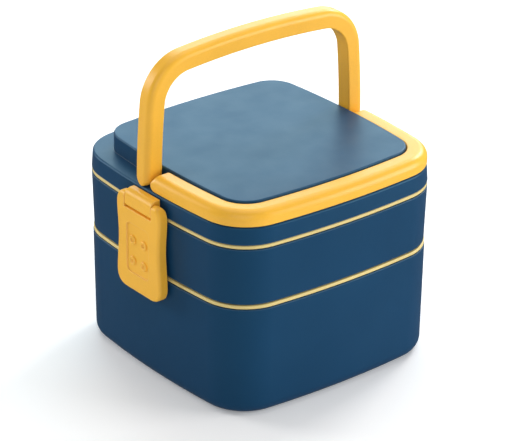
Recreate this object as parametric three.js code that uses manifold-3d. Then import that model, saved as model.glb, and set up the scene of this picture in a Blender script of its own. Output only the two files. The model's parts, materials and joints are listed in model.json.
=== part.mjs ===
// A square two-tier bento box with a clip-down lid and a folding carry handle.
// Millimetres, +Z up. The box stands on z = 0, centred on the Z axis. -Y is its front, where the
// yellow trim lies; the latches and the handle's pivots are on its two X sides. The handle is up.

import * as THREE from 'three';
import { mergeVertices } from 'three/addons/utils/BufferGeometryUtils.js';
import Module from 'manifold-3d';

const wasm = await Module();
wasm.setup();

// ---- Driving dimensions ----

const HALF_WIDTH = 80; // middle of one side to the Z axis, at the widest rim
const SIDE_BULGE = 5.9; // how far each side bows out over its whole length
const CORNER_RADIUS = 30;
const WALL = 2.4;
const FIT_GAP = 0.3; // between pieces that touch

const LOWER_RIM_Z = 68.1;
const TIER_PITCH = 37.5; // from the lower rim to the upper one
const BASE_RADIUS = 7.6; // rounding under the lower container
const SEAL_EDGE = 2.2; // height of a seal lid's edge, the yellow line round the box
const LEDGE_Z = 118.9; // the lid's step, which carries the trim and the folded handle
const LID_TOP_Z = 129.4;
const PLATEAU_INSET = 13;

const RING_INSET = 0.5; // outer face of the trim and the handle, in from the box's side
const TRIM_WIDTH = 12;
const TRIM_TOP_Z = 128.4;
const TRIM_END_Y = -1.8;
const TRIM_END_RADIUS = 3.2;
const HANDLE_WIDTH = 10.9;
const HANDLE_HALF_DEPTH = 5.15;
const HANDLE_PIVOT = { y: 6.5, z: LEDGE_Z + FIT_GAP + HANDLE_HALF_DEPTH };
const HANDLE_PIN_RADIUS = 1.5;
const HANDLE_PIN_HEAD = 2.2;

const LATCH_PIN = { x: 84.4, z: 112.9 }; // x counts outward from the Z axis
const LATCH_PIN_RADIUS = 1.2;
const LATCH_FACE = 3; // pin axis to the latch's outer face
const LATCH_BACK = 3; // pin axis to the latch's inner face
const LATCH_LENGTH = 57; // pin axis to the latch's lower end
const LATCH_BORE_HALF = 15.8; // the bore stops inside the latch's ears
const BRACKET_HALF_WIDTH = 12.3;
const BRACKET_LOW = -5.8; // lower edge of the hinge bracket, from the pin axis

const DIVIDER_X = 20;
const VENT_Y = 46;

const UPPER_RIM_Z = LOWER_RIM_Z + TIER_PITCH;
const QUARTER_TURN = Math.PI / 2;

// ---- Colours ----

const finish = (color, roughness, metalness = 0) => ({ color, roughness, metalness });
const NAVY = finish(0x244a6c, 0.45);
const YELLOW = finish(0xf6b93f, 0.42);
const SEAL_YELLOW = finish(0xe9c069, 0.5);
const SILICONE = finish(0xe6e4dc, 0.7);
const STEEL = finish(0xb8bcc0, 0.3, 1);

// ---- Solids ----

// Turns a closed geometry into a solid, leaving out the flat triangles at a lathe's poles.
function solid(geometry) {
  const bare = geometry.clone();
  bare.deleteAttribute('normal');
  bare.deleteAttribute('uv');
  const merged = mergeVertices(bare, 1e-4);
  const corners = merged.index.array;
  const kept = [];
  for (let i = 0; i < corners.length; i += 3) {
    const [a, b, c] = corners.subarray(i, i + 3);
    if (a !== b && b !== c && c !== a) kept.push(a, b, c);
  }
  const vertProperties = new Float32Array(merged.attributes.position.array);
  const triVerts = new Uint32Array(kept);
  return new wasm.Manifold(new wasm.Mesh({ numProp: 3, vertProperties, triVerts }));
}

function joined(pieces) {
  return pieces.reduce((whole, piece) => whole.add(piece));
}

function cut(body, tools) {
  return tools.reduce((rest, tool) => rest.subtract(tool), body);
}

function namedMesh(name, shape, look) {
  const { vertProperties, triVerts } = shape.getMesh();
  const geometry = new THREE.BufferGeometry();
  geometry.setAttribute('position', new THREE.BufferAttribute(vertProperties, 3));
  geometry.setIndex(new THREE.BufferAttribute(triVerts, 1));
  geometry.computeVertexNormals();
  const mesh = new THREE.Mesh(geometry, new THREE.MeshStandardMaterial(look));
  mesh.name = name;
  return mesh;
}

function box(low, high) {
  const size = high.map((value, i) => value - low[i]);
  const middle = high.map((value, i) => (value + low[i]) / 2);
  return solid(new THREE.BoxGeometry(...size).translate(...middle));
}

// A round bar from one X to another, about the line (y, z).
function barAlongX(radius, fromX, toX, y, z, sides = 16) {
  const bar = new THREE.CylinderGeometry(radius, radius, toX - fromX, sides);
  return solid(bar.rotateZ(QUARTER_TURN).translate((fromX + toX) / 2, y, z));
}

function barAlongY(radius, halfLength, sides = 16) {
  return solid(new THREE.CylinderGeometry(radius, radius, 2 * halfLength, sides));
}

function barAlongZ(radius, fromZ, toZ, x, y, sides = 16) {
  const bar = new THREE.CylinderGeometry(radius, radius, toZ - fromZ, sides);
  return solid(bar.rotateX(QUARTER_TURN).translate(x, y, (fromZ + toZ) / 2));
}

// Extrudes a shape drawn in (Y, Z) along X, from one X to another.
function slabAlongX(shape, fromX, toX, bevel = 0) {
  const slab = new THREE.ExtrudeGeometry(shape, {
    depth: toX - fromX - 2 * bevel,
    bevelEnabled: bevel > 0,
    bevelThickness: bevel,
    bevelSize: bevel,
    bevelOffset: -bevel,
    bevelSegments: 2,
    curveSegments: 4,
  });
  slab.translate(0, 0, fromX + bevel);
  return solid(slab.rotateX(QUARTER_TURN).rotateZ(QUARTER_TURN));
}

// Extrudes a shape drawn in (X, Z) along Y, evenly about y = 0.
function slabAlongY(shape, halfWidth) {
  const slab = new THREE.ExtrudeGeometry(shape, {
    depth: 2 * halfWidth,
    bevelEnabled: false,
    curveSegments: 4,
  });
  return solid(slab.translate(0, 0, -halfWidth).rotateX(QUARTER_TURN));
}

// ---- The box's outline: four bowed sides joined by round corners ----

const SIDE_RADIUS = (HALF_WIDTH ** 2 + SIDE_BULGE ** 2) / (2 * SIDE_BULGE);
const SIDE_CENTRE = HALF_WIDTH - SIDE_RADIUS;
const CORNER_CENTRE = cornerCentre();
const SIDE_SWING = Math.atan2(CORNER_CENTRE, CORNER_CENTRE - SIDE_CENTRE);
const LATHE_STEPS = 40;
const SIDE_SHARE = 2 * ((2 * Math.PI) / LATHE_STEPS); // turn of the lathe spent on half a side
const DEEPEST_OFFSET = CORNER_RADIUS - 4; // past this inset the outline only shrinks

// The corner circle touches both side circles from inside, so its centre is on the diagonal.
function cornerCentre() {
  const reach = SIDE_RADIUS - CORNER_RADIUS;
  return (SIDE_CENTRE + Math.sqrt(2 * reach ** 2 - SIDE_CENTRE ** 2)) / 2;
}

// The outline's point for one turn of the lathe, moved in from the widest rim by inset.
function outlinePoint(inset, turn) {
  const side = Math.round(turn / QUARTER_TURN);
  const local = turn - side * QUARTER_TURN;
  const away = Math.abs(local);
  const offset = Math.min(inset, DEEPEST_OFFSET);
  const point = new THREE.Vector2();
  if (away <= SIDE_SHARE + 1e-6) {
    const swing = (local / SIDE_SHARE) * SIDE_SWING;
    const radius = SIDE_RADIUS - offset;
    point.set(SIDE_CENTRE + radius * Math.cos(swing), radius * Math.sin(swing));
  } else {
    const share = (away - SIDE_SHARE) / (QUARTER_TURN / 2 - SIDE_SHARE);
    const swing = SIDE_SWING + share * (QUARTER_TURN / 2 - SIDE_SWING);
    const radius = CORNER_RADIUS - offset;
    point.set(CORNER_CENTRE + radius * Math.cos(swing), CORNER_CENTRE + radius * Math.sin(swing));
    point.y *= Math.sign(local);
  }
  point.multiplyScalar((HALF_WIDTH - inset) / (HALF_WIDTH - offset));
  return point.rotateAround(new THREE.Vector2(), side * QUARTER_TURN);
}

// A profile point, given by its inset from the widest rim and its height.
const at = (inset, z) => new THREE.Vector2(HALF_WIDTH - inset, z);
const onAxis = (z) => new THREE.Vector2(0, z);

// Points along an arc of the profile, its angles in degrees with 0 pointing outward.
function arc(inset, z, radius, from, to, steps = 3) {
  const points = [];
  for (let i = 0; i <= steps; i++) {
    const angle = THREE.MathUtils.degToRad(from + ((to - from) * i) / steps);
    points.push(at(inset - radius * Math.cos(angle), z + radius * Math.sin(angle)));
  }
  return points;
}

// Sweeps a profile round the box: a lathe whose circle is moved out to the box's outline.
function squareLathe(profile) {
  const lathe = new THREE.LatheGeometry(profile, LATHE_STEPS).rotateX(QUARTER_TURN);
  const position = lathe.attributes.position;
  for (let i = 0; i < position.count; i++) {
    const [x, y] = [position.getX(i), position.getY(i)];
    const point = outlinePoint(HALF_WIDTH - Math.hypot(x, y), Math.atan2(y, x));
    position.setXY(i, point.x, point.y);
  }
  return solid(lathe);
}

function squareRing(section) {
  return squareLathe([...section, section[0].clone()]);
}

// ---- Containers ----

const LOWER_RIM_INSET = 0.4;
const LOWER_BASE_INSET = 1.3;
const INNER_RADIUS = 6;

// The ridge that a latch's lip hooks under, flat below and sloped above.
function catchRidge() {
  const tip = LATCH_PIN.x - LATCH_BACK - FIT_GAP;
  const underside = LATCH_PIN.z - LATCH_LENGTH + 4.9;
  const root = HALF_WIDTH - LOWER_BASE_INSET - 0.5;
  const shape = new THREE.Shape();
  shape.moveTo(root, underside);
  shape.lineTo(tip, underside);
  shape.lineTo(tip, underside + 0.8);
  shape.lineTo(root, underside + 3.4);
  return slabAlongY(shape, 11);
}

function lowerContainer() {
  const floor = WALL;
  const inner = LOWER_BASE_INSET + WALL;
  const bowl = squareLathe([
    onAxis(0),
    ...arc(LOWER_BASE_INSET + BASE_RADIUS, BASE_RADIUS, BASE_RADIUS, -90, 0, 4),
    at(LOWER_RIM_INSET, LOWER_RIM_Z),
    at(LOWER_RIM_INSET + WALL, LOWER_RIM_Z),
    ...arc(inner + INNER_RADIUS, floor + INNER_RADIUS, INNER_RADIUS, 0, -90),
    onAxis(floor),
  ]);
  const ridge = catchRidge();
  return joined([bowl, ridge, ridge.rotate([0, 0, 180])]);
}

const UPPER_BASE_Z = LOWER_RIM_Z + SEAL_EDGE + 2 * FIT_GAP;
const UPPER_BASE_INSET = 1;
const FOOT_INSET = 7.6;
const FOOT_WIDTH = 2.2;
const FOOT_DROP = 1.8; // how far the foot nests into the seal lid below

function upperContainer() {
  const floor = upperFloorZ();
  const inner = UPPER_BASE_INSET + WALL;
  return squareLathe([
    onAxis(UPPER_BASE_Z),
    at(FOOT_INSET + FOOT_WIDTH, UPPER_BASE_Z),
    at(FOOT_INSET + FOOT_WIDTH, UPPER_BASE_Z - FOOT_DROP),
    at(FOOT_INSET, UPPER_BASE_Z - FOOT_DROP),
    at(FOOT_INSET, UPPER_BASE_Z),
    ...arc(UPPER_BASE_INSET + 1, UPPER_BASE_Z + 1, 1, -90, 0, 2),
    at(0, UPPER_RIM_Z),
    at(WALL, UPPER_RIM_Z),
    ...arc(inner + INNER_RADIUS, floor + INNER_RADIUS, INNER_RADIUS, 0, -90),
    onAxis(floor),
  ]);
}

function upperFloorZ() {
  return UPPER_BASE_Z + WALL;
}

// A loose partition that stands on its own foot across the upper container.
function upperDivider() {
  const top = UPPER_RIM_Z - 9;
  const low = upperFloorZ() + FIT_GAP;
  const half = HALF_WIDTH - UPPER_BASE_INSET - WALL - 2;
  const shape = new THREE.Shape();
  shape.moveTo(-half + INNER_RADIUS, low);
  shape.lineTo(half - INNER_RADIUS, low);
  shape.absarc(half - INNER_RADIUS, low + INNER_RADIUS, INNER_RADIUS, -QUARTER_TURN, 0, false);
  shape.lineTo(half, top);
  shape.lineTo(-half, top);
  shape.lineTo(-half, low + INNER_RADIUS);
  shape.absarc(-half + INNER_RADIUS, low + INNER_RADIUS, INNER_RADIUS, Math.PI, -QUARTER_TURN, false);
  const panel = slabAlongX(shape, DIVIDER_X - 0.8, DIVIDER_X + 0.8);
  const footHalf = half - 1.5 * INNER_RADIUS;
  const foot = box([DIVIDER_X - 5, -footHalf, low], [DIVIDER_X + 5, footHalf, low + 1.4]);
  return panel.add(foot);
}

// ---- Seal lids ----

const PLUG_INSET = 0.6; // from a container's inner wall to its seal lid's plug
const GROOVE_DEPTH = 1.5;
const PANEL_DROP = 3; // from the container's rim down to the top of the seal lid's panel
const PANEL = 2;
const VENT_RADIUS = 3.2;

// An airtight inner lid: an edge on the rim, a plug with a gasket groove and a recessed panel.
function sealLid(rimZ, rimInset) {
  const edge = rimInset + 0.2;
  const plug = rimInset + WALL + PLUG_INSET;
  const low = rimZ + FIT_GAP;
  const panelTop = rimZ - PANEL_DROP;
  const panelLow = panelTop - PANEL;
  const recess = plug + 2.9;
  const body = squareLathe([
    onAxis(panelLow),
    at(plug, panelLow),
    at(plug, gasketZ(rimZ).low - FIT_GAP),
    at(plug + GROOVE_DEPTH, gasketZ(rimZ).low - FIT_GAP),
    at(plug + GROOVE_DEPTH, gasketZ(rimZ).high + FIT_GAP),
    at(plug, gasketZ(rimZ).high + FIT_GAP),
    at(plug, low),
    at(edge, low),
    at(edge, low + SEAL_EDGE),
    at(recess, low + SEAL_EDGE),
    at(recess, panelTop + 2),
    at(recess + 2, panelTop),
    onAxis(panelTop),
  ]);
  return cut(body, [barAlongZ(VENT_RADIUS, panelLow - 1, panelTop + 1, 0, VENT_Y)]);
}

function gasketZ(rimZ) {
  return { low: rimZ - 3.5, high: rimZ - 1.1 };
}

function sealGasket(rimZ, rimInset) {
  const outer = rimInset + WALL + FIT_GAP + 0.05;
  const inner = rimInset + WALL + PLUG_INSET + GROOVE_DEPTH - FIT_GAP;
  const { low, high } = gasketZ(rimZ);
  return squareRing([at(inner, low), at(outer, low), at(outer, high), at(inner, high)]);
}

// A soft vent plug: a stem in the panel's hole under a flat head.
function ventPlug(rimZ) {
  const panelTop = rimZ - PANEL_DROP;
  const stem = VENT_RADIUS - FIT_GAP;
  const head = 5.5;
  const plug = new THREE.LatheGeometry(
    [
      [0, panelTop - PANEL - 0.6],
      [stem - 0.6, panelTop - PANEL - 0.6],
      [stem, panelTop - PANEL],
      [stem, panelTop + FIT_GAP],
      [head, panelTop + FIT_GAP],
      [head, panelTop + FIT_GAP + 0.8],
      [head - 0.5, panelTop + FIT_GAP + 1.3],
      [0, panelTop + FIT_GAP + 1.3],
    ].map(([radius, z]) => new THREE.Vector2(radius, z)),
    16,
  );
  return solid(plug.rotateX(QUARTER_TURN).translate(0, VENT_Y, 0));
}

// ---- Lid ----

const LID_LOW_Z = UPPER_RIM_Z + SEAL_EDGE + 2 * FIT_GAP;
const LEDGE_RADIUS = 1.5;
const LEDGE_EDGE_INSET = 0.6;
const PLATEAU_RADIUS = 1;
const PEG_RADIUS = 2;
const PEG_LOW_Z = LEDGE_Z - WALL - 1.6;
const TONGUE = { low: -2.6, high: 1.4, reach: 8, halfWidth: 8 };

// The four pegs under the trim, as places on its mid-line.
function trimPegs() {
  const middle = HALF_WIDTH - RING_INSET - TRIM_WIDTH / 2;
  return [[-middle, -24], [-30, -middle], [30, -middle], [middle, -24]];
}

function lidShell() {
  const under = PLATEAU_INSET + WALL;
  const shell = squareLathe([
    at(WALL, LID_LOW_Z),
    at(0, LID_LOW_Z),
    ...arc(LEDGE_EDGE_INSET + LEDGE_RADIUS, LEDGE_Z - LEDGE_RADIUS, LEDGE_RADIUS, 0, 90, 2),
    at(PLATEAU_INSET, LEDGE_Z),
    ...arc(PLATEAU_INSET + PLATEAU_RADIUS, LID_TOP_Z - PLATEAU_RADIUS, PLATEAU_RADIUS, 0, 90, 2),
    onAxis(LID_TOP_Z),
    onAxis(LID_TOP_Z - WALL),
    at(under, LID_TOP_Z - WALL),
    at(under, LEDGE_Z - WALL),
    at(LEDGE_EDGE_INSET + WALL, LEDGE_Z - WALL),
    at(WALL, LID_LOW_Z),
  ]);
  const pegHoles = trimPegs().map(([x, y]) =>
    barAlongZ(PEG_RADIUS + FIT_GAP, PEG_LOW_Z - 1, LEDGE_Z + 1, x, y, 12));
  const pinHole = barAlongX(
    HANDLE_PIN_RADIUS + FIT_GAP, -HALF_WIDTH, HALF_WIDTH, HANDLE_PIVOT.y, HANDLE_PIVOT.z);
  const slotHalf = TONGUE.halfWidth + FIT_GAP;
  const slot = box(
    [-HALF_WIDTH - 1, -slotHalf, LATCH_PIN.z + TONGUE.low - FIT_GAP],
    [HALF_WIDTH + 1, slotHalf, LATCH_PIN.z + TONGUE.high + FIT_GAP]);
  return cut(shell, [...pegHoles, pinHole, slot]);
}

// A slab across the box that runs towards +Y from an end whose two long edges are rounded.
function roundEnded(endY, low, high, radius) {
  const shape = new THREE.Shape();
  shape.moveTo(endY + HALF_WIDTH + radius, low);
  shape.lineTo(endY + HALF_WIDTH + radius, high);
  shape.lineTo(endY + radius, high);
  shape.absarc(endY + radius, high - radius, radius, QUARTER_TURN, Math.PI, false);
  shape.absarc(endY + radius, low + radius, radius, Math.PI, 3 * QUARTER_TURN, false);
  return slabAlongX(shape, -HALF_WIDTH - 1, HALF_WIDTH + 1);
}

// The section that the trim and the handle share: square, its top outer edge rounded to the crown.
function ringSection(width, low, high, crown) {
  const outer = RING_INSET;
  const inner = RING_INSET + width;
  return [
    at(inner - 1, low),
    at(outer + 1, low),
    at(outer, low + 1),
    ...arc(outer + crown, high - crown, crown, 0, 90),
    at(inner - 1, high),
    at(inner, high - 1),
    at(inner, low + 1),
  ];
}

function frontTrim() {
  const low = LEDGE_Z + FIT_GAP;
  const crown = 5.5;
  const ring = squareRing(ringSection(TRIM_WIDTH, low, TRIM_TOP_Z, crown));
  const half = roundEnded(-TRIM_END_Y, low, TRIM_TOP_Z, TRIM_END_RADIUS).mirror([0, 1, 0]);
  const pegs = trimPegs().map(([x, y]) => barAlongZ(PEG_RADIUS, PEG_LOW_Z, low + 1, x, y, 12));
  return joined([ring.intersect(half), ...pegs]);
}

// ---- Handle ----

// Made folded back, about its own pivot line, and stood up by the group that holds it.
function handle() {
  const depth = HANDLE_HALF_DEPTH;
  const crown = 4;
  const ring = squareRing(ringSection(HANDLE_WIDTH, -depth, depth, crown));
  const half = roundEnded(HANDLE_PIVOT.y - depth, -depth, depth, depth);
  const bore = HALF_WIDTH - RING_INSET - 4;
  const pinHole = barAlongX(HANDLE_PIN_RADIUS + FIT_GAP, -bore, bore, HANDLE_PIVOT.y, 0);
  return cut(ring.intersect(half), [pinHole]).translate([0, -HANDLE_PIVOT.y, 0]);
}

function handleStoodUp() {
  const stand = new THREE.Group();
  stand.position.set(0, HANDLE_PIVOT.y, HANDLE_PIVOT.z);
  stand.rotation.x = QUARTER_TURN;
  stand.add(namedMesh('handle', handle(), YELLOW));
  return stand;
}

// A pivot pin along X: its head is inside the lid and its tip in the handle's leg.
function handlePin() {
  const head = HALF_WIDTH - PLATEAU_INSET - WALL - FIT_GAP;
  const tip = HALF_WIDTH - RING_INSET - 4 - FIT_GAP;
  const pin = new THREE.LatheGeometry(
    [
      [0, head - 1.5],
      [HANDLE_PIN_HEAD, head - 1.5],
      [HANDLE_PIN_HEAD, head],
      [HANDLE_PIN_RADIUS, head],
      [HANDLE_PIN_RADIUS, tip],
      [0, tip],
    ].map(([radius, x]) => new THREE.Vector2(radius, x)),
    16,
  );
  return solid(pin.rotateZ(-QUARTER_TURN).translate(0, HANDLE_PIVOT.y, HANDLE_PIVOT.z));
}

// ---- Latches: drawn about their pin's axis, with +X pointing away from the box ----

// The latch's face, waisted in the middle, in (Y, Z).
function latchFace() {
  const ear = 20.3;
  const waist = 19;
  const tail = 20.4;
  const top = LATCH_BACK;
  const low = -LATCH_LENGTH;
  const face = new THREE.Shape();
  face.moveTo(-tail + 9, low);
  face.lineTo(tail - 9, low);
  face.bezierCurveTo(tail - 3, low, tail, low + 4, tail, low + 9);
  face.bezierCurveTo(tail, low + 18, waist, -34, waist, -25);
  face.bezierCurveTo(waist, -16, ear, -13, ear, -5);
  face.bezierCurveTo(ear, 0, ear - 3, top, ear - 7, top);
  face.lineTo(-ear + 7, top);
  face.bezierCurveTo(-ear + 3, top, -ear, 0, -ear, -5);
  face.bezierCurveTo(-ear, -13, -waist, -16, -waist, -25);
  face.bezierCurveTo(-waist, -34, -tail, low + 18, -tail, low + 9);
  face.bezierCurveTo(-tail, low + 4, -tail + 3, low, -tail + 9, low);
  return face;
}

// The latch from the side, in (X, Z): round about the pin above, rounded at its outer lower edge.
function latchSide() {
  const low = -LATCH_LENGTH;
  const side = new THREE.Shape();
  side.moveTo(-LATCH_BACK, low);
  side.lineTo(LATCH_FACE - 3, low);
  side.absarc(LATCH_FACE - 3, low + 3, 3, -QUARTER_TURN, 0, false);
  side.lineTo(LATCH_FACE, 0);
  side.absarc(0, 0, LATCH_FACE, 0, QUARTER_TURN, false);
  side.absarc(0, 0, LATCH_BACK, QUARTER_TURN, Math.PI, false);
  return side;
}

function roundedPanel(halfWidth, low, high, radius) {
  const panel = new THREE.Shape();
  panel.moveTo(-halfWidth + radius, low);
  panel.lineTo(halfWidth - radius, low);
  panel.absarc(halfWidth - radius, low + radius, radius, -QUARTER_TURN, 0, false);
  panel.absarc(halfWidth - radius, high - radius, radius, 0, QUARTER_TURN, false);
  panel.absarc(-halfWidth + radius, high - radius, radius, QUARTER_TURN, Math.PI, false);
  panel.absarc(-halfWidth + radius, low + radius, radius, Math.PI, 3 * QUARTER_TURN, false);
  return panel;
}

const GRIP_POCKET = { halfWidth: 10.3, low: -45.5, high: -14.5, depth: 0.8 };
const GRIP_RING = { radius: 2.8, hole: 1.2, y: 5.2, low: -37.9, high: -24.8 };

// One raised ring of the finger grip, standing on the pocket's floor.
function gripRing(y, z) {
  const { radius, hole } = GRIP_RING;
  const floor = LATCH_FACE - GRIP_POCKET.depth;
  const ring = new THREE.LatheGeometry(
    [
      [hole, floor - 0.5],
      [radius, floor - 0.5],
      [radius, floor + 0.5],
      [(radius + hole) / 2, floor + 0.9],
      [hole, floor + 0.5],
      [hole, floor - 0.5],
    ].map(([across, out]) => new THREE.Vector2(across, out)),
    12,
  );
  return solid(ring.rotateZ(-QUARTER_TURN).translate(0, y, z));
}

function latch() {
  const bevel = 2;
  const face = slabAlongX(latchFace(), -LATCH_BACK - 2 * bevel, LATCH_FACE, bevel);
  const plate = face.intersect(slabAlongY(latchSide(), HALF_WIDTH));
  const pocketShape = roundedPanel(
    GRIP_POCKET.halfWidth, GRIP_POCKET.low, GRIP_POCKET.high, 3);
  const pocket = slabAlongX(pocketShape, LATCH_FACE - GRIP_POCKET.depth, LATCH_FACE + 1);
  const hollowShape = roundedPanel(14.6, -LATCH_LENGTH + 4.5, -9.5, 3);
  const hollow = slabAlongX(hollowShape, -LATCH_BACK - 1, LATCH_FACE - GRIP_POCKET.depth - 1.8);
  const notchHalf = BRACKET_HALF_WIDTH + FIT_GAP;
  const notch = box(
    [-HALF_WIDTH, -notchHalf, BRACKET_LOW - FIT_GAP], [HALF_WIDTH, notchHalf, HALF_WIDTH]);
  const bore = barAlongY(LATCH_PIN_RADIUS + FIT_GAP, LATCH_BORE_HALF);
  const rings = [-GRIP_RING.y, GRIP_RING.y].flatMap((y) => [
    gripRing(y, GRIP_RING.low), gripRing(y, GRIP_RING.high)]);
  return joined([cut(plate, [pocket, hollow, notch, bore]), ...rings]);
}

// The hinge bracket on the lid: a block over the pin, held by a tongue through the lid's wall.
function latchBracket() {
  const back = HALF_WIDTH + FIT_GAP - LATCH_PIN.x;
  const top = LEDGE_Z - 0.9 - LATCH_PIN.z;
  const heel = 2.5;
  const brow = 4.6;
  const side = new THREE.Shape();
  side.moveTo(back, BRACKET_LOW);
  side.lineTo(LATCH_FACE - heel, BRACKET_LOW);
  side.absarc(LATCH_FACE - heel, BRACKET_LOW + heel, heel, -QUARTER_TURN, 0, false);
  side.absarc(LATCH_FACE - brow, top - brow, brow, 0, QUARTER_TURN, false);
  side.lineTo(back, top);
  const block = slabAlongY(side, BRACKET_HALF_WIDTH);
  const tongue = box(
    [back - TONGUE.reach, -TONGUE.halfWidth, TONGUE.low],
    [back + 1, TONGUE.halfWidth, TONGUE.high]);
  const bore = barAlongY(LATCH_PIN_RADIUS + FIT_GAP, HALF_WIDTH);
  return cut(block.add(tongue), [bore]);
}

function latchPin() {
  return barAlongY(LATCH_PIN_RADIUS, LATCH_BORE_HALF - FIT_GAP, 16);
}

// Everything on one side of the lid; the left side is the right one turned half round.
function sideFittings(side) {
  const turned = new THREE.Group();
  turned.rotation.z = side === 'left' ? Math.PI : 0;
  const hinge = new THREE.Group();
  hinge.position.set(LATCH_PIN.x, 0, LATCH_PIN.z);
  hinge.add(namedMesh(`latch_${side}`, latch(), YELLOW));
  hinge.add(namedMesh(`latch_bracket_${side}`, latchBracket(), YELLOW));
  hinge.add(namedMesh(`latch_pin_${side}`, latchPin(), STEEL));
  turned.add(hinge);
  return turned;
}

function handlePins() {
  const pin = handlePin();
  return [
    namedMesh('handle_pin_right', pin, STEEL),
    namedMesh('handle_pin_left', pin.mirror([1, 0, 0]), STEEL),
  ];
}

// ---- Assembly ----

const bentoBox = new THREE.Group();
bentoBox.add(
  namedMesh('lower_container', lowerContainer(), NAVY),
  namedMesh('lower_seal_lid', sealLid(LOWER_RIM_Z, LOWER_RIM_INSET), SEAL_YELLOW),
  namedMesh('lower_seal_gasket', sealGasket(LOWER_RIM_Z, LOWER_RIM_INSET), SILICONE),
  namedMesh('lower_vent_plug', ventPlug(LOWER_RIM_Z), SILICONE),
  namedMesh('upper_container', upperContainer(), NAVY),
  namedMesh('upper_divider', upperDivider(), NAVY),
  namedMesh('upper_seal_lid', sealLid(UPPER_RIM_Z, 0), SEAL_YELLOW),
  namedMesh('upper_seal_gasket', sealGasket(UPPER_RIM_Z, 0), SILICONE),
  namedMesh('upper_vent_plug', ventPlug(UPPER_RIM_Z), SILICONE),
  namedMesh('lid_shell', lidShell(), NAVY),
  namedMesh('front_trim', frontTrim(), YELLOW),
  handleStoodUp(),
  ...handlePins(),
  sideFittings('left'),
  sideFittings('right'),
);

export default bentoBox;
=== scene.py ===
"""The looks of a square two-tier bento box with a folding carry handle and two side latches.

Metres, +Z up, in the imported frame. -Y is the front, where the yellow trim lies; the latches and the
handle's pivots are on the two X sides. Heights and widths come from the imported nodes' own boxes.
"""
import json
import math

import bmesh
import bpy
from mathutils import Matrix, Quaternion, Vector


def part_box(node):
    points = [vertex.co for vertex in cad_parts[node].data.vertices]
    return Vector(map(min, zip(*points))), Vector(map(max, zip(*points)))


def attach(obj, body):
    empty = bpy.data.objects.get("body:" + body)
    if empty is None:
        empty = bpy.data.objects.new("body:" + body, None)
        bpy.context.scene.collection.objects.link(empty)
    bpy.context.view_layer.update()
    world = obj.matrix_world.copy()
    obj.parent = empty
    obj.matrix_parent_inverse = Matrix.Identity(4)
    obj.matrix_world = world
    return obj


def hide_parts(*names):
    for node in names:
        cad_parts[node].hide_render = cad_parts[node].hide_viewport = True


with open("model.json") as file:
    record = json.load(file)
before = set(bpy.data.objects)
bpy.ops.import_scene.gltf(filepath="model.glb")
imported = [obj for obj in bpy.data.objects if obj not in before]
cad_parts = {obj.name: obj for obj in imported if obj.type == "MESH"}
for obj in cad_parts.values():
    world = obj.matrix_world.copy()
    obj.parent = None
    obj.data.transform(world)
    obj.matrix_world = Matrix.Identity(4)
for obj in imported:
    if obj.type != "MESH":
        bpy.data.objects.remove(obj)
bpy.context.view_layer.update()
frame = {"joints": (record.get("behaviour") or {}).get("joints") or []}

MM = 0.001
QUARTER_TURN = math.pi / 2


# ---- Sizes ----

def joint_place(name):
    return Vector(next(joint["pos_m"] for joint in frame["joints"] if joint["name"] == name))


LOWER_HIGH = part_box("lower_container")[1]
UPPER_LOW, UPPER_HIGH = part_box("upper_container")
LID_LOW, LID_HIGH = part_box("lid_shell")
TRIM_LOW, TRIM_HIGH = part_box("front_trim")
HANDLE_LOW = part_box("handle")[0]
LATCH_LOW, LATCH_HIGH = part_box("latch_right")
BRACKET_LOW, BRACKET_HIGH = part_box("latch_bracket_right")

HALF_WIDTH = UPPER_HIGH.y
SIDE_BULGE = 5.9 * MM  # how far each side bows out over its whole length
CORNER_RADIUS = 30 * MM
WALL = 2.4 * MM
FIT_GAP = 0.3 * MM  # between pieces that touch
SOFT_EDGE = 0.5 * MM  # rounding of a moulded rim

LOWER_RIM_Z = LOWER_HIGH.z
LOWER_RIM_INSET = HALF_WIDTH - LOWER_HIGH.y
LOWER_BASE_INSET = 1.3 * MM
LOWER_BASE_RADIUS = 7.6 * MM
INNER_RADIUS = 6 * MM

UPPER_RIM_Z = UPPER_HIGH.z
FOOT_DROP = 1.8 * MM  # how far the upper container's foot nests into the seal lid below
FOOT_INSET = 7.6 * MM
FOOT_WIDTH = 2.2 * MM
UPPER_BASE_Z = UPPER_LOW.z + FOOT_DROP
UPPER_BASE_INSET = 1 * MM
UPPER_FLOOR_Z = UPPER_BASE_Z + WALL

LID_LOW_Z = LID_LOW.z
LID_TOP_Z = LID_HIGH.z
BRACKET_DROP = 0.9 * MM  # from the lid's ledge down to a bracket's top
LEDGE_Z = BRACKET_HIGH.z + BRACKET_DROP
LEDGE_EDGE_INSET = 0.6 * MM
LEDGE_RADIUS = 1.5 * MM
PLATEAU_INSET = 13 * MM
PLATEAU_RADIUS = 1 * MM

RING_INSET = HALF_WIDTH - TRIM_HIGH.x
TRIM_WIDTH = 12 * MM
TRIM_LOW_Z = LEDGE_Z + FIT_GAP
TRIM_END_RADIUS = 3.2 * MM
TRIM_CROWN = 5.5 * MM
PEG_RADIUS = 2 * MM
PEG_SIDE_Y = -24 * MM
PEG_FRONT_X = 30 * MM
HANDLE_WIDTH = 10.9 * MM
HANDLE_PIVOT = joint_place("handle_fold")
HANDLE_HALF_DEPTH = HANDLE_PIVOT.z - HANDLE_LOW.z
HANDLE_CROWN = 4 * MM
HANDLE_PIN_RADIUS = 1.5 * MM

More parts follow.
